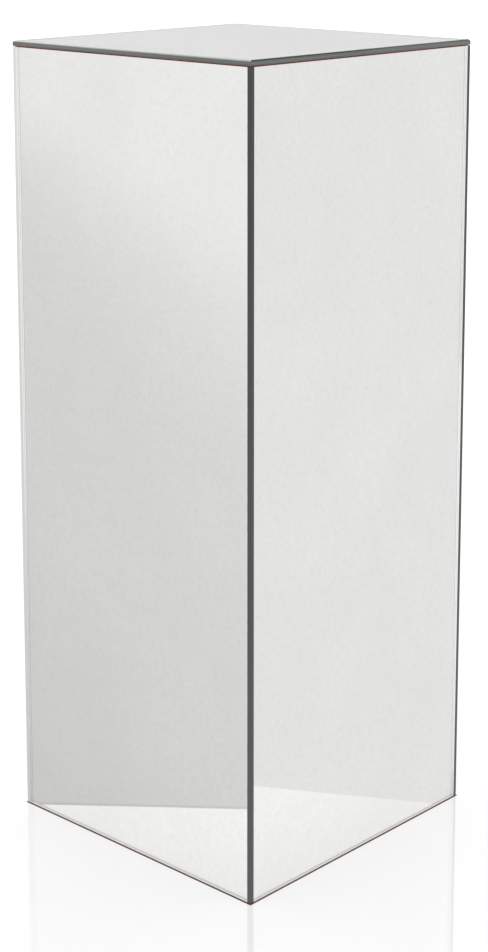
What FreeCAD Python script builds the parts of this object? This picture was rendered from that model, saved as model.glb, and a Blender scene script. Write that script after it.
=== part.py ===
import FreeCAD, Part
import os

# A mirrored display pedestal: a tall square plinth. Five mirror plates are bonded to a hollow
# fibreboard carcass, which stands on a thin sheet of felt. The side mirrors stop short of the
# corners, and a strip of sealant fills each corner flush. Millimetres, +Z up. The origin is
# the middle of the footprint, on the floor. The front faces -Y and the right side faces +X.

# Overall size
WIDTH = 304.8  # square footprint, over the mirrors
HEIGHT = 762.0  # floor to the top mirror's face

# Mirrors
SIDE_GLASS = 4.0
TOP_GLASS = 5.0
BACKING = 0.3  # silver, copper, paint and safety film on the back of the glass
SIDE_ARRIS = 0.25  # radius polished round the seen face of a side mirror
TOP_ARRIS = 2.5  # radius polished round the seen face of the top mirror
BACK_ARRIS = 0.3  # chamfer round the silvered face of every mirror
JOINT_GAP = 0.5  # air between the top mirror's backing and the side mirrors' upper edges
FLOOR_GAP = 0.8  # the side mirrors hang this far above the floor
SEAL_ARRIS = 0.4  # chamfer on the outer corner of a sealant strip

# Bond between the mirrors and the carcass
BOND = 1.5  # thickness of the tape and of the pressed mastic
TAPE_WIDTH = 25.0
TAPE_END_GAP = 18.0  # from a tape's end to the end of its board
TAPE_OFFSET = 100.0  # from the panel's centre line to the middle of a tape
DAB_RADIUS = 24.0
DAB_OFFSET = 42.0  # from the panel's centre line to a column of mastic dabs
DAB_ROWS = 5
DAB_END_GAP = 95.0

# Carcass
BOARD = 12.0
TOP_BOARD = 15.0
BASE_BOARD = 18.0
BATTEN = 20.0
FELT = 1.5
FELT_INSET = 2.0

# Countersunk wood screws
SCREW_RADIUS = 1.75
HEAD_RADIUS = 3.5
TIP_LENGTH = 4.0
TIP_RADIUS = 0.3
SIDE_SCREW = 25.0
TOP_SCREW = 40.0
BASE_SCREW = 45.0
HOLE_PLAY = 0.05
CUT_CLEAR = 1.0  # how far a cutting shape runs past the face that it cuts
SLOT_WIDTH = 0.9
SLOT_LENGTH = 3.8
SLOT_DEPTH = 1.1
SIDE_SCREW_ROWS = (80.0, 270.0, 460.0, 650.0)
ROW_STAGGER = 18.0  # screws of neighbouring boards pass over each other in the batten they share

# Worked out from those
MIRROR_SKIN = SIDE_GLASS + BACKING + BOND
CARCASS = WIDTH - 2 * MIRROR_SKIN
CAVITY = CARCASS - 2 * BOARD
CARCASS_TOP = HEIGHT - TOP_GLASS - BACKING - BOND
WALL_TOP = CARCASS_TOP - TOP_BOARD
MIRROR_TOP = HEIGHT - TOP_GLASS - BACKING - JOINT_GAP
MIRROR_HALF = WIDTH / 2 - SIDE_GLASS  # a side mirror ends where its neighbour's silvering lies
BATTEN_BOTTOM = FELT + BASE_BOARD
BATTEN_CENTRE = CAVITY / 2 - BATTEN / 2

TOLERANCE = 1e-6  # two places nearer than this are the same place

# Angles about the vertical, from the front side and from the front right corner
SIDES = {"front": 0, "right": 90, "back": 180, "left": 270}
CORNERS = {"front_right": 0, "back_right": 90, "back_left": 180, "front_left": 270}

UP = FreeCAD.Vector(0, 0, 1)
ALONG_X = FreeCAD.Vector(1, 0, 0)
ORIGIN = FreeCAD.Vector(0, 0, 0)


def block(low, high):
    """A box between two corners."""
    size = [end - start for start, end in zip(low, high)]
    return Part.makeBox(*size, FreeCAD.Vector(*low))


def turned(shape, degrees):
    """A copy turned about the vertical through the origin."""
    copy = shape.copy()
    copy.rotate(ORIGIN, UP, degrees)
    return copy


def moved(shape, x, y, z):
    """A copy moved by a vector."""
    copy = shape.copy()
    copy.translate(FreeCAD.Vector(x, y, z))
    return copy


def edges_in_plane(shape, normal, distance):
    """The edges whose two ends lie in the plane at this distance along the normal."""
    return [
        edge
        for edge in shape.Edges
        if all(abs(end.Point.dot(normal) - distance) < TOLERANCE for end in edge.Vertexes)
    ]


def arrised(shape, outward, seen, silvered, arris):
    """A plate with its seen face rounded and its silvered face chamfered, all the way round."""
    shape = shape.makeFillet(arris, edges_in_plane(shape, outward, seen))
    return shape.makeChamfer(BACK_ARRIS, edges_in_plane(shape, outward, silvered))


def save(name, *solids):
    """Writes one sub-part, which may be a group of alike solids."""
    shape = solids[0] if len(solids) == 1 else Part.makeCompound(list(solids))
    shape.exportStep(f"parts/{name}.step")


# Screws point down from a head at the origin.


def screw(length):
    """A countersunk wood screw with a cross recess."""
    head_height = HEAD_RADIUS - SCREW_RADIUS
    head = Part.makeCone(SCREW_RADIUS, HEAD_RADIUS, head_height, -head_height * UP)
    shank_length = length - head_height - TIP_LENGTH
    shank_end = TIP_LENGTH - length
    shank = Part.makeCylinder(SCREW_RADIUS, shank_length, shank_end * UP)
    tip = Part.makeCone(TIP_RADIUS, SCREW_RADIUS, TIP_LENGTH, -length * UP)
    body = head.fuse([shank, tip]).removeSplitter()
    half_width = SLOT_WIDTH / 2
    half_length = SLOT_LENGTH / 2
    slot = block((-half_length, -half_width, -SLOT_DEPTH), (half_length, half_width, CUT_CLEAR))
    return body.cut(slot.fuse(turned(slot, 90)))


def screw_hole(length):
    """The space that a screw fills, with a little play round it."""
    mouth_radius = HEAD_RADIUS + HOLE_PLAY
    hole_radius = SCREW_RADIUS + HOLE_PLAY
    sink_depth = mouth_radius - hole_radius
    sink = Part.makeCone(hole_radius, mouth_radius, sink_depth, -sink_depth * UP)
    shaft = Part.makeCylinder(hole_radius, length + HOLE_PLAY, -(length + HOLE_PLAY) * UP)
    return sink.fuse(shaft)


def side_rows(angle):
    """Heights of the screws in one wall board; every second board is staggered."""
    stagger = ROW_STAGGER if angle % 180 else 0
    return [height + stagger for height in SIDE_SCREW_ROWS]


def side_fixings(fixing, angle):
    """Copies of a screw or hole where the wall board at this angle meets its two battens."""
    inward = fixing.copy()
    inward.rotate(ORIGIN, ALONG_X, 90)
    return [
        turned(moved(inward, x, -CARCASS / 2, z), angle)
        for x in (-BATTEN_CENTRE, BATTEN_CENTRE)
        for z in side_rows(angle)
    ]


def corner_fixings(fixing, height, upward):
    """Copies of a screw or hole over or under the four battens."""
    upright = fixing.copy()
    if upward:
        upright.rotate(ORIGIN, ALONG_X, 180)
    first = moved(upright, BATTEN_CENTRE, -BATTEN_CENTRE, height)
    return [turned(first, angle) for angle in CORNERS.values()]


# Mirrors


def side_mirror():
    """Glass and backing of the front mirror."""
    outer = -WIDTH / 2
    silvered = outer + SIDE_GLASS
    glass = block((-MIRROR_HALF, outer, FLOOR_GAP), (MIRROR_HALF, silvered, MIRROR_TOP))
    forward = FreeCAD.Vector(0, -1, 0)
    glass = arrised(glass, forward, -outer, -silvered, SIDE_ARRIS)
    half = MIRROR_HALF - BACK_ARRIS
    backing = block(
        (-half, silvered, FLOOR_GAP + BACK_ARRIS),
        (half, silvered + BACKING, MIRROR_TOP - BACK_ARRIS),
    )
    return glass, backing


def corner_seal():
    """The square strip of sealant between the front and right mirrors."""
    outer = WIDTH / 2
    strip = block((MIRROR_HALF, -outer, FLOOR_GAP), (outer, -MIRROR_HALF, MIRROR_TOP))
    diagonal = FreeCAD.Vector(1, -1, 0)
    return strip.makeChamfer(SEAL_ARRIS, edges_in_plane(strip, diagonal, 2 * outer))


def top_mirror():
    """Glass and backing of the top mirror, which covers the edges of the side mirrors."""
    half = WIDTH / 2
    silvered = HEIGHT - TOP_GLASS
    glass = block((-half, -half, silvered), (half, half, HEIGHT))
    glass = arrised(glass, UP, HEIGHT, silvered, TOP_ARRIS)
    inner = half - BACK_ARRIS
    backing = block((-inner, -inner, silvered - BACKING), (inner, inner, silvered))
    return glass, backing


def side_bond():
    """Tapes and mastic dabs between the front board and its mirror."""
    near = -WIDTH / 2 + SIDE_GLASS + BACKING
    far = near + BOND
    low = FELT + TAPE_END_GAP
    high = CARCASS_TOP - TAPE_END_GAP
    half = TAPE_WIDTH / 2
    tapes = [
        block((x - half, near, low), (x + half, far, high))
        for x in (-TAPE_OFFSET, TAPE_OFFSET)
    ]
    pitch = (CARCASS_TOP - FELT - 2 * DAB_END_GAP) / (DAB_ROWS - 1)
    inward = FreeCAD.Vector(0, 1, 0)
    dabs = [
        Part.makeCylinder(
            DAB_RADIUS, BOND, FreeCAD.Vector(x, near, FELT + DAB_END_GAP + row * pitch), inward
        )
        for x in (-DAB_OFFSET, DAB_OFFSET)
        for row in range(DAB_ROWS)
    ]
    return tapes, dabs


def top_bond():
    """Tapes and mastic dabs between the top board and its mirror."""
    half = TAPE_WIDTH / 2
    end = CARCASS / 2 - TAPE_END_GAP
    over = CARCASS_TOP + BOND
    tapes = [
        block((x - half, -end, CARCASS_TOP), (x + half, end, over))
        for x in (-TAPE_OFFSET, TAPE_OFFSET)
    ]
    dabs = [
        Part.makeCylinder(DAB_RADIUS, BOND, FreeCAD.Vector(x, y, CARCASS_TOP))
        for x in (-DAB_OFFSET, DAB_OFFSET)
        for y in (-2 * DAB_OFFSET, 0, 2 * DAB_OFFSET)
    ]
    return tapes, dabs


# Carcass


def wall_board(angle):
    """The fibreboard wall on one side, drilled for its screws.

    The front and back walls cover the ends of the left and right ones.
    """
    half = CAVITY / 2 if angle % 180 else CARCASS / 2
    wall = block((-half, -CARCASS / 2, FELT), (half, -CARCASS / 2 + BOARD, WALL_TOP))
    return turned(wall, angle).cut(side_fixings(screw_hole(SIDE_SCREW), angle))


def batten(angle, holes):
    """The softwood batten in one inner corner, drilled for every screw that enters it."""
    inner = BATTEN_CENTRE - BATTEN / 2
    outer = BATTEN_CENTRE + BATTEN / 2
    post = block((inner, -outer, BATTEN_BOTTOM), (outer, -inner, WALL_TOP))
    post = turned(post, angle)
    near = [hole for hole in holes if hole.BoundBox.intersect(post.BoundBox)]
    return post.cut(near)


def main():
    os.makedirs("parts", exist_ok=True)
    glass, backing = side_mirror()
    tapes, dabs = side_bond()
    for side, angle in SIDES.items():
        save(f"{side}_mirror_glass", turned(glass, angle))
        save(f"{side}_mirror_backing", turned(backing, angle))
        save(f"{side}_mirror_tapes", *[turned(tape, angle) for tape in tapes])
        save(f"{side}_mirror_mastic", *[turned(dab, angle) for dab in dabs])
        save(f"{side}_board", wall_board(angle))
        save(f"{side}_board_screws", *side_fixings(screw(SIDE_SCREW), angle))

    glass, backing = top_mirror()
    tapes, dabs = top_bond()
    save("top_mirror_glass", glass)
    save("top_mirror_backing", backing)
    save("top_mirror_tapes", *tapes)
    save("top_mirror_mastic", *dabs)

    top_holes = corner_fixings(screw_hole(TOP_SCREW), CARCASS_TOP, upward=False)
    base_holes = corner_fixings(screw_hole(BASE_SCREW), FELT, upward=True)
    half = CARCASS / 2
    top_board = block((-half, -half, WALL_TOP), (half, half, CARCASS_TOP))
    save("top_board", top_board.cut(top_holes))
    save("top_board_screws", *corner_fixings(screw(TOP_SCREW), CARCASS_TOP, upward=False))
    half = CAVITY / 2
    base_board = block((-half, -half, FELT), (half, half, BATTEN_BOTTOM))
    save("base_board", base_board.cut(base_holes))
    save("base_board_screws", *corner_fixings(screw(BASE_SCREW), FELT, upward=True))

    side_holes = [
        hole for angle in SIDES.values() for hole in side_fixings(screw_hole(SIDE_SCREW), angle)
    ]
    for corner, angle in CORNERS.items():
        save(f"{corner}_batten", batten(angle, side_holes + top_holes + base_holes))
        save(f"{corner}_corner_seal", turned(corner_seal(), angle))

    half = CARCASS / 2 - FELT_INSET
    save("base_felt", block((-half, -half, 0), (half, half, FELT)))


main()
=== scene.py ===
import math

import bmesh
import bpy
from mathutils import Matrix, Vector


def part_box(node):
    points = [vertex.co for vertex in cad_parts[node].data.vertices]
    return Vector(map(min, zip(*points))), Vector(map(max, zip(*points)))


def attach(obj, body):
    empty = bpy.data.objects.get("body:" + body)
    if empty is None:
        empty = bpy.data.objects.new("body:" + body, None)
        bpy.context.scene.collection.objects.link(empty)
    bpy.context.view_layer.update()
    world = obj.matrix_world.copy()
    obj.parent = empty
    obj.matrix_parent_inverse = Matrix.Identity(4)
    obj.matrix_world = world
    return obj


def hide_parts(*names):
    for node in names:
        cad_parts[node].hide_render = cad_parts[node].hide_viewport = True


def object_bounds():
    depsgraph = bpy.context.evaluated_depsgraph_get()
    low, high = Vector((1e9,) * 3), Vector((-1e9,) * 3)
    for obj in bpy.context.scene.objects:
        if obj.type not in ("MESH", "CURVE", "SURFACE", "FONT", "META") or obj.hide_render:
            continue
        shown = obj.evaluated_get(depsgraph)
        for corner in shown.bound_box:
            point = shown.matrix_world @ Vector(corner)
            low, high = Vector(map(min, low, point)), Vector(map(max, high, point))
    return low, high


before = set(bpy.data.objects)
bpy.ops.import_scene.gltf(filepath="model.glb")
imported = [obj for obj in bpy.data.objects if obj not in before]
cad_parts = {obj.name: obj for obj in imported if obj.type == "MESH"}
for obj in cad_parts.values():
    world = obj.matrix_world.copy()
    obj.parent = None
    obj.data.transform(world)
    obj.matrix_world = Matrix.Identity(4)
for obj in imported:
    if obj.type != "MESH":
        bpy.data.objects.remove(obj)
cad_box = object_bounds()

# A mirrored display pedestal. Its five mirror plates are rebuilt here as glass slabs with a
# silvered back and a finish of their own on each edge and arris. Everything else is the CAD part
# with a finish. Metres, in the part's own frame: the front faces -Y, the right side +X, the floor
# is z = 0.

MM = 0.001
HALF_WIDTH = cad_box[1][0]
HEIGHT = cad_box[1][2]

# Mirror plates
SIDE_ARRIS = 0.25 * MM  # radius round the seen face of a side mirror
TOP_ARRIS = 2.5 * MM  # radius round the seen face of the top mirror
BACK_ARRIS = 0.3 * MM  # chamfer round the silvered face
ARRIS_STEPS = 8  # facets in a rounded arris
CLEARANCE = 0.03 * MM  # the slabs end this far short of the coating behind and the sealant beside

# Finishes
GLASS_IOR = 1.52
EDGE_SHADE_FADE = (HEIGHT - 4.7 * MM, HEIGHT - 2.4 * MM)  # painted shade: the top's edge turns from near black to green here, darker low down
BOTTOM_SHARE_MOST = 0.45  # share of a third tone in the corner sealant's colour, low down
BOTTOM_SHARE_FADE = (0.05, 0.7)  # that share thins out between these heights
PINE_BANDS = 38.0  # radians of light and dark banding over the range of the grain's noise

# Camera
CAMERA_PLACE = (1.315, -1.405, 0.916)
CAMERA_PITCH = 79.88  # degrees from looking straight down
CAMERA_YAW = 43.06  # degrees from looking along +Y
CAMERA_LENS = 77.27  # millimetres
CAMERA_SENSOR = 36.0
CAMERA_RISE = -0.25  # the picture's centre lies below the lens axis

# Floor
FLOOR_SIZE = 60.0
FOOT = (HALF_WIDTH + 0.6 * MM, HALF_WIDTH + 1.5 * MM)  # the painted shadow under the object ends here
FLOOR_TONE = (0.30, 0.30, 0.30)
FLOOR_GLOW = 0.535
FLOOR_ROUGHNESS = 0.035
FLOOR_IOR = 2.4  # strong enough a gloss to reflect the object faintly
FLOOR_SPECULAR = 0.5
SHADE_SPECULAR = 0.1
SHADE_TONE = (0.20, 0.05, 0.034)  # painted shadow under the object, red-brown like the mirrors' backing paint

# Ground that only the mirrors show, past the edges of the white ground round the object
BOARD_EDGE_LEFT = ((-0.148, -0.144), (0.017, -0.283))  # two points on an edge of the white ground
BOARD_EDGE_RIGHT = ((0.313, 0.027), (0.1524, 0.122))
CARD_HEIGHT = 0.3 * MM
CARD_REACH = 30.0  # how far each ground runs along its edge, each way, and out from it
RIM_WIDTH = 4.5 * MM  # painted shade: the left ground is darker this close to the white ground
RIM_SHADE = 0.86  # share of the ground's tone that is left there
LEFT_TINT = (1.0, 0.998, 0.99)
LEFT_BASE = 0.52  # tone of the left ground, to which shares of the next two are added
LEFT_SWELL = 0.16  # share grows along SWELL_WAY, over the distances SWELL_REACH
LEFT_FRONT = 0.385  # share is largest where the ground lies FRONT_WAY of the object
SWELL_WAY = (0.506, -0.863, 0)
SWELL_REACH = (0.51, 1.30)
FRONT_WAY = (0.136, -0.991, 0)
FRONT_LEAST = 0.3  # smallest share of LEFT_FRONT
FRONT_SOFTEN = 0.3  # the larger this distance, the slower that share changes near the object
RIGHT_TONE = (0.86, 0.86, 0.855)

# Light
SOFT_BOX_SIZE = (2.2, 4.4)
SOFT_BOX_PLACE = (-2.5, -0.3, 3.4)
SOFT_BOX_TILT = 90  # degrees from level, so that it faces along X
SOFT_BOX_TONE = (1.0, 0.995, 0.98)
SOFT_BOX_GLOW = 3.2
AMBIENT = (1.35, 1.35, 1.35)  # the light that falls on the floor and the object
WALL_LOW = (0.875, 0.875, 0.87)  # the room's walls near the horizon, as the mirrors show them
WALL_HIGH = (0.84, 0.845, 0.85)
WALL_RISE = 0.6  # the walls reach that second tone at this height on a sphere of radius 1
HORIZON = (0.95, 0.95, 0.95)  # the room near the horizon, as polished surfaces reflect it
CEILING = (0.06, 0.06, 0.06)
CEILING_FADE = (0.51, 0.62)  # heights on that sphere between which one turns into the other


class Graph:
    """A material's or world's node tree, with short ways to add the nodes used here."""

    def __init__(self, tree):
        self.tree = tree
        self.tree.nodes.clear()

    def add(self, kind, settings=None, **inputs):
        """A node with some settings, and inputs given as values or as other nodes' outputs."""
        node = self.tree.nodes.new(kind)
        for key, value in (settings or {}).items():
            setattr(node, key, value)
        for key, value in inputs.items():
            socket = node.inputs[key.replace("_", " ")]
            if isinstance(value, bpy.types.NodeSocket):
                self.tree.links.new(value, socket)
            else:
                socket.default_value = value
        return node

    def place(self, stretch=(1, 1, 1)):
        """Positions in the part's frame, scaled along each axis."""
        coordinates = self.add("ShaderNodeTexCoord").outputs["Object"]
        return self.add("ShaderNodeMapping", Vector=coordinates, Scale=stretch).outputs[0]

    def noise(self, scale, detail=3.0, roughness=0.5, stretch=(1, 1, 1), distortion=0.0):
        """Fractal noise from 0 to 1. Scale is in repeats a metre."""
        return self.add(
            "ShaderNodeTexNoise",
            Vector=self.place(stretch),
            Scale=scale,
            Detail=detail,
            Roughness=roughness,
            Distortion=distortion,
        ).outputs["Fac"]

    def cells(self, scale):
        """Distance to the nearest of scattered points. Scale is in points a metre."""
        return self.add("ShaderNodeTexVoronoi", Vector=self.place(), Scale=scale).outputs["Distance"]

    def height(self):
        """Height above the floor."""
        return self.add("ShaderNodeSeparateXYZ", Vector=self.place()).outputs["Z"]

    def along(self, direction):
        """Distance from the origin along a direction."""
        node = self.add("ShaderNodeVectorMath", {"operation": "DOT_PRODUCT"}, Vector=self.place())
        node.inputs[1].default_value = direction
        return node.outputs["Value"]

    def remap(self, value, low, high, from_low=0.0, from_high=1.0, curve="LINEAR"):
        """Value moved from one range to another, held at its ends."""
        node = self.add("ShaderNodeMapRange", {"interpolation_type": curve}, Value=value)
        node.inputs["From Min"].default_value = from_low
        node.inputs["From Max"].default_value = from_high
        node.inputs["To Min"].default_value = low
        node.inputs["To Max"].default_value = high
        return node.outputs["Result"]

    def math(self, operation, first, second=0.0):
        """A product, maximum or other operation on one or two numbers."""
        node = self.add("ShaderNodeMath", {"operation": operation})
        for socket, value in zip(node.inputs, (first, second)):
            if isinstance(value, bpy.types.NodeSocket):
                self.tree.links.new(value, socket)
            else:
                socket.default_value = value
        return node.outputs[0]

    def blend(self, share, first, second):
        """A colour between two colours."""
        node = self.add("ShaderNodeMix", {"data_type": "RGBA"})
        sockets = (node.inputs[0], node.inputs[6], node.inputs[7])
        for socket, value in zip(sockets, (share, first, second)):
            if isinstance(value, bpy.types.NodeSocket):
                self.tree.links.new(value, socket)
            elif socket.type == "RGBA":
                socket.default_value = (*value, 1.0)
            else:
                socket.default_value = value
        return node.outputs[2]

    def bump(self, height, distance, strength, under=None):
        """A normal that follows a height in metres, over another bump if one is given."""
        node = self.add("ShaderNodeBump", Height=height, Distance=distance, Strength=strength)
        if under is not None:
            self.tree.links.new(under, node.inputs["Normal"])
        return node.outputs[0]

    def surface(self, **inputs):
        """The material's shader, joined to its output."""
        shader = self.add("ShaderNodeBsdfPrincipled", **inputs)
        output = self.add("ShaderNodeOutputMaterial")
        self.tree.links.new(shader.outputs[0], output.inputs["Surface"])

    def glow(self, colour, strength=1.0, world=False):
        """A shader that gives light, for a card or for the world, joined to its output."""
        shader = self.add("ShaderNodeBackground" if world else "ShaderNodeEmission", Strength=strength)
        if isinstance(colour, bpy.types.NodeSocket):
            self.tree.links.new(colour, shader.inputs["Color"])
        else:
            shader.inputs["Color"].default_value = (*colour, 1.0)
        output = self.add("ShaderNodeOutputWorld" if world else "ShaderNodeOutputMaterial")
        self.tree.links.new(shader.outputs[0], output.inputs["Surface"])


def material(name):
    """A new material and its empty node tree."""
    made = bpy.data.materials.new(name)
    made.use_nodes = True
    return made, Graph(made.node_tree)


# Finishes


def clear_glass():
    """The clean outer face of the glass, with faint wiping haze and a rolled waviness."""
    made, g = material("clear_glass")
    haze = g.noise(9.0, detail=5.0, roughness=0.62, stretch=(1, 1, 0.7), distortion=0.6)
    wipe = g.noise(60.0, detail=3.0, stretch=(1, 1, 0.15), distortion=1.2)
    smear = g.math("MULTIPLY", haze, wipe)
    waves = g.noise(5.0, detail=1.0, stretch=(1, 1, 0.5))
    g.surface(
        Base_Color=(1.0, 1.0, 1.0, 1.0),
        Roughness=g.remap(smear, 0.0, 0.03, 0.2, 0.5),
        IOR=GLASS_IOR,
        Transmission_Weight=1.0,
        Normal=g.bump(waves, 0.05 * MM, 0.4),
    )
    return made


def silver():
    """The silvered back of the glass, very slightly clouded."""
    made, g = material("silver")
    cloud = g.noise(7.0, detail=6.0, roughness=0.6, distortion=0.4)
    mottle = g.noise(210.0, detail=4.0, roughness=0.7)
    tone = g.blend(g.remap(cloud, 0.0, 1.0, 0.3, 0.7), (0.862, 0.862, 0.852), (0.905, 0.905, 0.897))
    g.surface(
        Base_Color=g.blend(g.remap(mottle, 0.0, 0.5, 0.45, 0.75), tone, (0.80, 0.80, 0.79)),
        Metallic=1.0,
        Roughness=g.remap(cloud, 0.04, 0.015, 0.35, 0.65),
    )
    return made


def edge_glass():
    """The top plate's flat polished edge: dark streaky green, made nearly black low down by painted
    shade.
    """
    made, g = material("edge_glass")
    streaks = g.noise(35.0, detail=4.0, stretch=(0.25, 0.25, 9.0))
    flecks = g.noise(900.0, detail=2.0)
    body = g.blend(g.remap(streaks, 0.0, 1.0, 0.38, 0.62), (0.05, 0.07, 0.06), (0.085, 0.125, 0.10))
    g.surface(
        # painted shade: near black on the lower part of the edge
        Base_Color=g.blend(g.remap(g.height(), 0.0, 1.0, *EDGE_SHADE_FADE), (0.018, 0.028, 0.023), body),
        Roughness=g.remap(flecks, 0.06, 0.2, 0.3, 0.7),
        IOR=GLASS_IOR,
        Coat_Weight=0.6,
        Coat_Roughness=0.05,
        Normal=g.bump(flecks, 0.004 * MM, 0.3),
    )
    return made


def arris_glass():
    """The top plate's rounded, polished arris."""
    made, g = material("arris_glass")
    streaks = g.noise(30.0, detail=4.0, stretch=(0.3, 0.3, 6.0))
    chips = g.noise(700.0, detail=3.0)
    green = g.blend(g.remap(streaks, 0.0, 1.0, 0.35, 0.65), (0.03, 0.038, 0.034), (0.07, 0.085, 0.076))
    g.surface(
        Base_Color=green,
        Roughness=g.remap(chips, 0.08, 0.22, 0.3, 0.7),
        IOR=GLASS_IOR,
        Coat_Weight=0.8,
        Coat_Roughness=0.08,
        Normal=g.bump(chips, 0.01 * MM, 0.4),
    )
    return made


def seamed_glass():
    """The ground arrises and back chamfer of a side plate: pale and frosted."""
    made, g = material("seamed_glass")
    grit = g.noise(900.0, detail=3.0)
    g.surface(
        Base_Color=g.blend(g.remap(grit, 0.0, 1.0, 0.3, 0.7), (0.84, 0.86, 0.845), (0.93, 0.95, 0.935)),
        Roughness=g.remap(grit, 0.3, 0.5),
        Normal=g.bump(grit, 0.01 * MM, 0.4),
    )
    return made


def inner_end():
    """The flat edge of a side plate, which seen through the glass mirrors the room."""
    made, g = material("inner_end")
    streaks = g.noise(40.0, detail=3.0, stretch=(1, 1, 0.2))
    g.surface(
        Base_Color=g.blend(streaks, (0.96, 0.97, 0.965), (1.0, 1.0, 1.0)),
        Metallic=1.0,
        Roughness=g.remap(streaks, 0.02, 0.06),
    )
    return made


def paint_line():
    """Red-brown backing paint on some of the side plates' arrises and the top plate's chamfer."""
    made, g = material("paint_line")
    worn = g.noise(140.0, detail=4.0, roughness=0.6)
    g.surface(
        Base_Color=g.blend(g.remap(worn, 0.0, 1.0, 0.35, 0.65), (0.19, 0.06, 0.048), (0.33, 0.12, 0.098)),
        Roughness=g.remap(worn, 0.3, 0.5),
        Normal=g.bump(worn, 0.01 * MM, 0.4),
    )
    return made


def edge_sealer():
    """Dark sealer brushed on the side plates' upper edges."""
    made, g = material("edge_sealer")
    brushed = g.noise(120.0, detail=4.0, stretch=(0.3, 0.3, 1))
    brown = g.blend(g.remap(brushed, 0.0, 1.0, 0.35, 0.65), (0.022, 0.013, 0.011), (0.06, 0.028, 0.022))
    g.surface(
        Base_Color=brown,
        Roughness=g.remap(brushed, 0.35, 0.55),
        Normal=g.bump(brushed, 0.02 * MM, 0.4),
    )
    return made


def backing_paint():
    """Red-brown paint over the silvering, with curtain-coat ripples."""
    made, g = material("backing_paint")
    ripples = g.noise(18.0, detail=5.0, stretch=(1, 1, 0.25))
    pits = g.noise(600.0, detail=2.0)
    under = g.bump(ripples, 0.05 * MM, 0.3)
    g.surface(
        Base_Color=g.blend(ripples, (0.15, 0.045, 0.035), (0.24, 0.085, 0.06)),
        Roughness=g.remap(pits, 0.42, 0.62),
        Normal=g.bump(pits, 0.01 * MM, 0.3, under),
    )
    return made


def corner_sealant(name, low, high, bottom_tone):
    """Sealant tooled along the corner, between two tones, and turning towards a third tone low down."""
    made, g = material(name)
    drag = g.noise(50.0, detail=5.0, roughness=0.6, stretch=(1, 1, 0.12))
    grain = g.noise(1400.0, detail=2.0)
    under = g.bump(drag, 0.12 * MM, 0.35)
    bottom_share = g.remap(g.height(), BOTTOM_SHARE_MOST, 0.0, *BOTTOM_SHARE_FADE)
    g.surface(
        Base_Color=g.blend(bottom_share, g.blend(g.remap(drag, 0.0, 1.0, 0.35, 0.65), low, high), bottom_tone),
        Roughness=g.remap(drag, 0.25, 0.45, 0.3, 0.7),
        Normal=g.bump(grain, 0.01 * MM, 0.25, under),
    )
    return made


def felt():
    """Black felt with short fibres."""
    made, g = material("felt")
    fibres = g.noise(900.0, detail=5.0, roughness=0.7, distortion=2.5)
    tufts = g.noise(60.0, detail=3.0)
    g.surface(
        Base_Color=g.blend(g.math("MULTIPLY", fibres, tufts), (0.008, 0.008, 0.009), (0.07, 0.07, 0.075)),
        Roughness=0.95,
        Sheen_Weight=0.4,
        Sheen_Roughness=0.5,
        Normal=g.bump(fibres, 0.3 * MM, 0.7),
    )
    return made


def fibreboard():
    """Medium-density fibreboard: tan, with fine dark and light fibres."""
    made, g = material("fibreboard")
    fibres = g.noise(700.0, detail=5.0, roughness=0.7, distortion=3.0)
    patches = g.noise(14.0, detail=3.0)
    tone = g.blend(g.remap(fibres, 0.0, 1.0, 0.3, 0.7), (0.30, 0.19, 0.105), (0.50, 0.35, 0.215))
    g.surface(
        Base_Color=g.blend(g.remap(patches, 0.0, 0.35), tone, (0.36, 0.235, 0.135)),
        Roughness=g.remap(fibres, 0.72, 0.88),
        Normal=g.bump(fibres, 0.06 * MM, 0.5),
    )
    return made


def softwood():
    """Planed pine with its grain running up the batten."""
    made, g = material("softwood")
    rings = g.noise(120.0, detail=2.0, stretch=(1, 1, 0.03), distortion=1.0)
    bands = g.math("SINE", g.math("MULTIPLY", rings, PINE_BANDS))
    pores = g.noise(900.0, detail=3.0, stretch=(1, 1, 0.06))
    grain = g.blend(g.remap(bands, 0.0, 1.0, -1.0, 1.0), (0.66, 0.43, 0.22), (0.50, 0.27, 0.11))
    g.surface(
        Base_Color=g.blend(g.remap(pores, 0.0, 0.5, 0.5, 0.8), grain, (0.34, 0.18, 0.08)),
        Roughness=g.remap(bands, 0.6, 0.48, -1.0, 1.0),
        Normal=g.bump(bands, 0.03 * MM, 0.4, g.bump(pores, 0.04 * MM, 0.4)),
    )
    return made


def zinc():
    """Zinc-plated steel with a faint yellow cast and scuffs."""
    made, g = material("zinc")
    spangle = g.noise(500.0, detail=3.0)
    scuffs = g.noise(1500.0, detail=3.0, stretch=(1, 1, 0.2))
    g.surface(
        Base_Color=g.blend(spangle, (0.52, 0.53, 0.55), (0.70, 0.68, 0.60)),
        Metallic=1.0,
        Roughness=g.remap(scuffs, 0.2, 0.42),
        Normal=g.bump(scuffs, 0.01 * MM, 0.3),
    )
    return made


def foam_tape():
    """White closed-cell foam."""
    made, g = material("foam_tape")
    foam = g.cells(900.0)
    g.surface(
        Base_Color=g.blend(foam, (0.55, 0.55, 0.53), (0.82, 0.82, 0.79)),
        Roughness=g.remap(foam, 0.9, 0.75),
        Normal=g.bump(foam, 0.2 * MM, 0.6),
    )
    return made


def mastic():
    """Buff mirror mastic, pressed flat."""
    made, g = material("mastic")
    folds = g.noise(110.0, detail=5.0, distortion=1.5)
    g.surface(
        Base_Color=g.blend(folds, (0.44, 0.38, 0.27), (0.62, 0.56, 0.43)),
        Roughness=g.remap(folds, 0.35, 0.6),
        Normal=g.bump(folds, 0.3 * MM, 0.5),
    )
    return made


# Mirror plates


def rectangle(width, depth):
    """The corners of a rectangle centred on the origin."""
    x = width / 2
    y = depth / 2
    return (-x, -y), (x, -y), (x, y), (-x, y)


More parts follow.
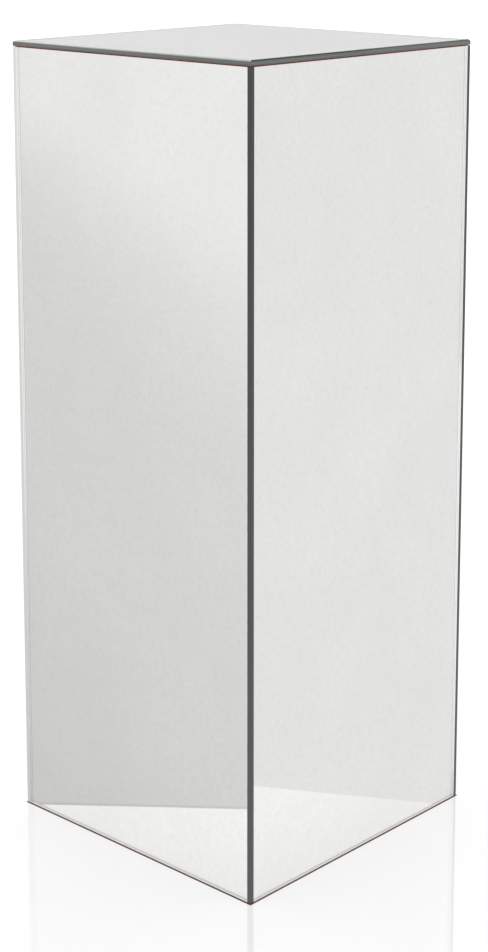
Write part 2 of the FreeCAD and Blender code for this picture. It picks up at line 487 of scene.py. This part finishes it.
def ring(thickness, arris):
    """Insets and depths of the loops round a plate, from its seen face to its silvered one."""
    loops = []
    for step in range(ARRIS_STEPS + 1):
        turn = math.radians(90) * step / ARRIS_STEPS
        loops.append((arris * (1 - math.sin(turn)), arris * (1 - math.cos(turn))))
    loops.append((0.0, thickness - BACK_ARRIS))
    loops.append((BACK_ARRIS, thickness))
    return loops


def plate_mesh(name, width, height, thickness, arris, finishes):
    """A plate centred on the origin, its seen face at z = 0 facing up, its own x to the right.

    finishes gives a material for the seen face, the arris and flat edge on each side, the chamfer
    at the back and the silvered face. Sides are in the order low, right, high, left.
    """
    order = []
    for part in finishes.values():
        for each in part if isinstance(part, tuple) else (part,):
            if each not in order:
                order.append(each)
    mesh = bmesh.new()
    loops = []
    for inset, depth in ring(thickness, arris):
        corners = rectangle(width - 2 * inset, height - 2 * inset)
        loops.append([mesh.verts.new((x, y, -depth)) for x, y in corners])
    face = mesh.faces.new(loops[0])
    face.material_index = order.index(finishes["seen"])
    for level, (outer, inner) in enumerate(zip(loops, loops[1:])):
        for side in range(4):
            after = (side + 1) % 4
            face = mesh.faces.new((outer[side], inner[side], inner[after], outer[after]))
            if level < ARRIS_STEPS:
                finish = finishes["arrises"][side]
                face.smooth = True
            elif level == ARRIS_STEPS:
                finish = finishes["edges"][side]
            else:
                finish = finishes["chamfer"]
            face.material_index = order.index(finish)
    face = mesh.faces.new(list(reversed(loops[-1])))
    face.material_index = order.index(finishes["silvered"])
    for outer, inner in zip(loops, loops[1:]):
        for mitre in zip(outer, inner):
            mesh.edges.get(mitre).smooth = False
    bmesh.ops.recalc_face_normals(mesh, faces=mesh.faces)
    data = bpy.data.meshes.new(name)
    mesh.to_mesh(data)
    mesh.free()
    for part in order:
        data.materials.append(part)
    return data


def mirror(node, outward, finishes, arris):
    """A glass slab that stands for a mirror's CAD glass. The top one's low side is towards -Y."""
    low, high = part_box(node)
    outward = Vector(outward)
    upright = outward.z == 0
    up = Vector((0, 0, 1)) if upright else Vector((0, 1, 0))
    across = up.cross(outward)
    size = high - low
    width = abs(size.dot(across))
    if upright:
        width -= 2 * CLEARANCE
    height = abs(size.dot(up))
    thickness = abs(size.dot(outward))
    name = node.replace("_glass", "_plate")
    data = plate_mesh(name, width, height, thickness - CLEARANCE, arris, finishes)
    seen = (low + high) / 2 + outward * thickness / 2
    for vertex in data.vertices:
        x, y, z = vertex.co
        vertex.co = seen + across * x + up * y + outward * z
    data.update()
    plate = bpy.data.objects.new(name, data)
    bpy.context.scene.collection.objects.link(plate)
    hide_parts(node)
    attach(plate, "root")


def mirrors():
    """All five mirror plates. Edges and arrises are listed low, right, high, left."""
    glass = clear_glass()
    coat = silver()
    edge = edge_glass()
    arris = arris_glass()
    paint = paint_line()
    sealer = edge_sealer()
    end = inner_end()
    seam = seamed_glass()

    right_and_left = {
        "seen": glass,
        "arrises": (seam, seam, paint, paint),
        "edges": (end, end, sealer, end),
        "chamfer": seam,
        "silvered": coat,
    }
    front_and_back = dict(right_and_left, arrises=(seam, seam, paint, seam))
    top = {
        "seen": glass,
        "arrises": (arris,) * 4,
        "edges": (edge,) * 4,
        "chamfer": paint,
        "silvered": coat,
    }
    mirror("front_mirror_glass", (0, -1, 0), front_and_back, SIDE_ARRIS)
    mirror("right_mirror_glass", (1, 0, 0), right_and_left, SIDE_ARRIS)
    mirror("back_mirror_glass", (0, 1, 0), front_and_back, SIDE_ARRIS)
    mirror("left_mirror_glass", (-1, 0, 0), right_and_left, SIDE_ARRIS)
    mirror("top_mirror_glass", (0, 0, 1), top, TOP_ARRIS)


# CAD parts


def finish_parts():
    """Gives every CAD part but the glass its finish, by the ending of its name."""
    finishes = {
        "_backing": backing_paint(),
        "_right_corner_seal": corner_sealant(
            "dark_sealant", (0.012, 0.014, 0.014), (0.030, 0.034, 0.032), (0.085, 0.09, 0.085)
        ),
        # painted light: the left corner seals are the dark sealant painted pale, a lit copy of it
        "_left_corner_seal": corner_sealant(
            "pale_sealant", (0.56, 0.56, 0.55), (0.62, 0.62, 0.61), (0.36, 0.36, 0.355)
        ),
        "_felt": felt(),
        "_board": fibreboard(),
        "_batten": softwood(),
        "_screws": zinc(),
        "_tapes": foam_tape(),
        "_mastic": mastic(),
    }
    for name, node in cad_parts.items():
        for ending, made in finishes.items():
            if name.endswith(ending):
                node.data.materials.clear()
                node.data.materials.append(made)


# Stage


def flat_card(name, points, height):
    """A level sheet with the given outline."""
    data = bpy.data.meshes.new(name)
    data.from_pydata([(x, y, height) for x, y in points], [], [tuple(range(len(points)))])
    card = bpy.data.objects.new(name, data)
    bpy.context.scene.collection.objects.link(card)
    return card


def only_seen_by(card, rays):
    """Shows a card to one kind of ray alone, so that it lights and shades nothing else.

    Glossy rays come off a polished face, and transmission rays come back out of a mirror's glass.
    """
    for kind in ("camera", "diffuse", "glossy", "transmission"):
        setattr(card, f"visible_{kind}", kind == rays)
    card.visible_shadow = False


def floor():
    """A pale, slightly glossy floor that glows a little, but is dark with painted shadow under the
    object.
    """
    card = flat_card("floor", rectangle(FLOOR_SIZE, FLOOR_SIZE), 0.0)
    made, g = material("studio_floor")
    across = g.add("ShaderNodeVectorMath", {"operation": "ABSOLUTE"}, Vector=g.place()).outputs[0]
    parts = g.add("ShaderNodeSeparateXYZ", Vector=across).outputs
    outside = g.remap(g.math("MAXIMUM", parts["X"], parts["Y"]), 0.0, 1.0, *FOOT)
    # painted shadow: dark colour and no glow under the object
    g.surface(
        Base_Color=g.blend(outside, SHADE_TONE, FLOOR_TONE),
        Specular_IOR_Level=g.remap(outside, SHADE_SPECULAR, FLOOR_SPECULAR),
        Roughness=FLOOR_ROUGHNESS,
        IOR=FLOOR_IOR,
        Emission_Color=(1.0, 1.0, 1.0, 1.0),
        Emission_Strength=g.math("MULTIPLY", outside, FLOOR_GLOW),
    )
    card.data.materials.append(made)


def ground_beyond(name, edge):
    """The room floor past one edge of the white ground, seen only in the mirrors.

    Returns its node tree, the level direction square to the edge and away from the object, and the
    edge's distance from the origin that way.
    """
    start, end = (Vector((*point, 0)) for point in edge)
    along = (end - start).normalized()
    outward = Vector((along.y, -along.x, 0))
    if outward.dot(start) < 0:
        outward.negate()
    before = start - along * CARD_REACH
    after = start + along * CARD_REACH
    corners = (before, after, after + outward * CARD_REACH, before + outward * CARD_REACH)
    card = flat_card(name, [(p.x, p.y) for p in corners], CARD_HEIGHT)
    only_seen_by(card, "transmission")
    made, g = material(name)
    card.data.materials.append(made)
    return g, outward, outward.dot(start)


def ground_left():
    """The ground that the front mirror shows: it brightens away from the object and to the front."""
    g, outward, edge = ground_beyond("ground_left", BOARD_EDGE_LEFT)
    # painted shade: the glow is dimmer near the object and away from its front
    swell = g.remap(g.along(SWELL_WAY), 0.0, 1.0, *SWELL_REACH, curve="SMOOTHSTEP")
    reach = g.add("ShaderNodeVectorMath", {"operation": "LENGTH"}, Vector=g.place()).outputs["Value"]
    front = g.math("DIVIDE", g.along(FRONT_WAY), g.math("ADD", reach, FRONT_SOFTEN))
    front = g.math("MAXIMUM", front, FRONT_LEAST)
    tone = g.math("ADD", g.math("MULTIPLY", swell, LEFT_SWELL), g.math("MULTIPLY", front, LEFT_FRONT))
    tone = g.math("ADD", tone, LEFT_BASE)
    # painted shade line along the white ground's edge
    rim = g.remap(g.along(outward), RIM_SHADE, 1.0, edge + RIM_WIDTH, edge + RIM_WIDTH + MM)
    g.glow(g.blend(g.math("MULTIPLY", tone, rim), (0, 0, 0), LEFT_TINT))


def ground_right():
    """The ground that the right mirror shows, all one tone."""
    g, _, _ = ground_beyond("ground_right", BOARD_EDGE_RIGHT)
    g.glow(RIGHT_TONE)


def soft_box():
    """A bright upright sheet of light high on the left, which only polished surfaces catch."""
    card = flat_card("soft_box", rectangle(*SOFT_BOX_SIZE), 0.0)
    card.location = SOFT_BOX_PLACE
    card.rotation_euler = (0, math.radians(SOFT_BOX_TILT), 0)
    only_seen_by(card, "glossy")
    made, g = material("soft_box")
    g.glow(SOFT_BOX_TONE, SOFT_BOX_GLOW)
    card.data.materials.append(made)


def room():
    """White light all round, a dark ceiling in the gloss, and a pale grey room in the mirrors."""
    world = bpy.data.worlds.new("room")
    world.use_nodes = True
    bpy.context.scene.world = world
    g = Graph(world.node_tree)
    direction = g.add("ShaderNodeTexCoord").outputs["Generated"]
    height = g.add("ShaderNodeSeparateXYZ", Vector=direction).outputs["Z"]
    wall = g.blend(g.remap(height, 0.0, 1.0, 0.0, WALL_RISE), WALL_LOW, WALL_HIGH)
    gloss = g.blend(g.remap(height, 0.0, 1.0, *CEILING_FADE), HORIZON, CEILING)
    rays = g.add("ShaderNodeLightPath").outputs
    seen = g.blend(rays["Is Glossy Ray"], AMBIENT, gloss)
    seen = g.blend(rays["Is Transmission Ray"], seen, wall)
    seen = g.blend(g.math("MINIMUM", rays["Diffuse Depth"], 1.0), seen, AMBIENT)
    g.glow(seen, world=True)


def camera():
    """The main view."""
    data = bpy.data.cameras.new("camera")
    data.lens = CAMERA_LENS
    data.sensor_width = CAMERA_SENSOR
    data.shift_y = CAMERA_RISE
    eye = bpy.data.objects.new("camera", data)
    eye.location = CAMERA_PLACE
    eye.rotation_euler = (math.radians(CAMERA_PITCH), 0, math.radians(CAMERA_YAW))
    bpy.context.scene.collection.objects.link(eye)
    bpy.context.scene.camera = eye


def main():
    mirrors()
    finish_parts()
    floor()
    ground_left()
    ground_right()
    soft_box()
    room()
    camera()
    bpy.context.scene.view_settings.view_transform = "Standard"


main()
